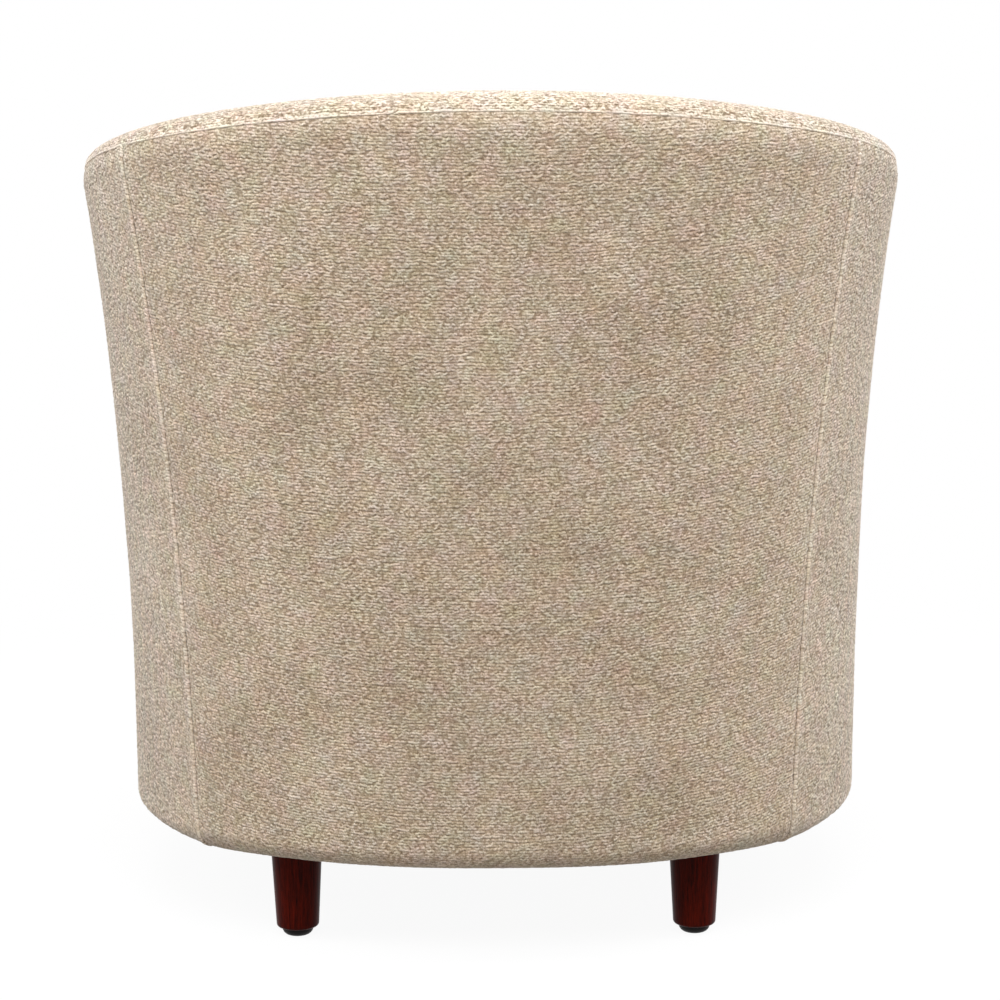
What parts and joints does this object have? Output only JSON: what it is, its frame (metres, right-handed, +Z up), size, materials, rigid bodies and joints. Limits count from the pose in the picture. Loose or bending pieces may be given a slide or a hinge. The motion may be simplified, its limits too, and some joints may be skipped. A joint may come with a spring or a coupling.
{
  "type": "tub chair",
  "caption": "Upholstered tub chair with a flared wall wrapped round a loose crowned seat cushion, on short tapered turned legs.",
  "frame": {"origin": "on the floor, under the middle of the chair's overall box", "axes": "+Z up, the sitter faces -Y, +X to the sitter's left"},
  "size_m": [0.806, 0.71, 0.7695],
  "materials": {
    "chenille": "beige chenille, short thick pile in rows",
    "plywood": "sawn and sanded plywood",
    "beech": "planed beech",
    "mahogany_stain": "turned hardwood, mahogany stain under satin lacquer",
    "spring_steel": "drawn spring wire",
    "zinced_steel": "zinc plated",
    "black_nylon": "moulded nylon",
    "foam": "cut upholstery foam",
    "felt": "needled felt",
    "hessian": "plain woven jute",
    "black_fleece": "bonded fibre dust cover",
    "zip_tape": "woven tape with a coil zip"
  },
  "bodies": {
    "chair_body": {"arm_front_left": "chenille", "arm_front_right": "chenille", "arm_post_left": "beech", "arm_post_right": "beech", "back_post_left": "beech", "back_post_right": "beech", "base_rail_back": "plywood", "base_rail_front": "beech", "base_rail_left": "plywood", "base_rail_right": "plywood", "dust_cover": "black_fleece", "front_border": "chenille", "glide_back_left": "black_nylon", "glide_back_right": "black_nylon", "glide_front_left": "black_nylon", "glide_front_right": "black_nylon", "inside_backing": "hessian", "inside_cover": "chenille", "inside_padding": "foam", "leg_back_left": "mahogany_stain", "leg_back_right": "mahogany_stain", "leg_block_back_left": "beech", "leg_block_back_right": "beech", "leg_block_front_left": "beech", "leg_block_front_right": "beech", "leg_bolt_back_left": "zinced_steel", "leg_bolt_back_right": "zinced_steel", "leg_bolt_front_left": "zinced_steel", "leg_bolt_front_right": "zinced_steel", "leg_front_left": "mahogany_stain", "leg_front_right": "mahogany_stain", "outside_arm_panel_left": "chenille", "outside_arm_panel_right": "chenille", "outside_back_panel": "chenille", "seat_deck": "felt", "seat_rail_back": "beech", "seat_rail_front": "beech", "seat_rail_left": "beech", "seat_rail_right": "beech", "seat_spring_1": "spring_steel", "seat_spring_2": "spring_steel", "seat_spring_3": "spring_steel", "seat_spring_4": "spring_steel", "side_post_left": "beech", "side_post_right": "beech", "spring_clip_back_1": "zinced_steel", "spring_clip_back_2": "zinced_steel", "spring_clip_back_3": "zinced_steel", "spring_clip_back_4": "zinced_steel", "spring_clip_front_1": "zinced_steel", "spring_clip_front_2": "zinced_steel", "spring_clip_front_3": "zinced_steel", "spring_clip_front_4": "zinced_steel", "top_rail_back": "plywood", "top_rail_left": "plywood", "top_rail_right": "plywood"},
    "seat_cushion": {"seat_cushion_cover": "chenille", "seat_cushion_core": "foam", "seat_cushion_zip": "zip_tape"}
  },
  "joints": [
    {"name": "seat_cushion_lift", "type": "slide", "parent": "chair_body", "child": "seat_cushion", "axis": [0, 0, 1], "range_m": [0, 0.49]}
  ]
}
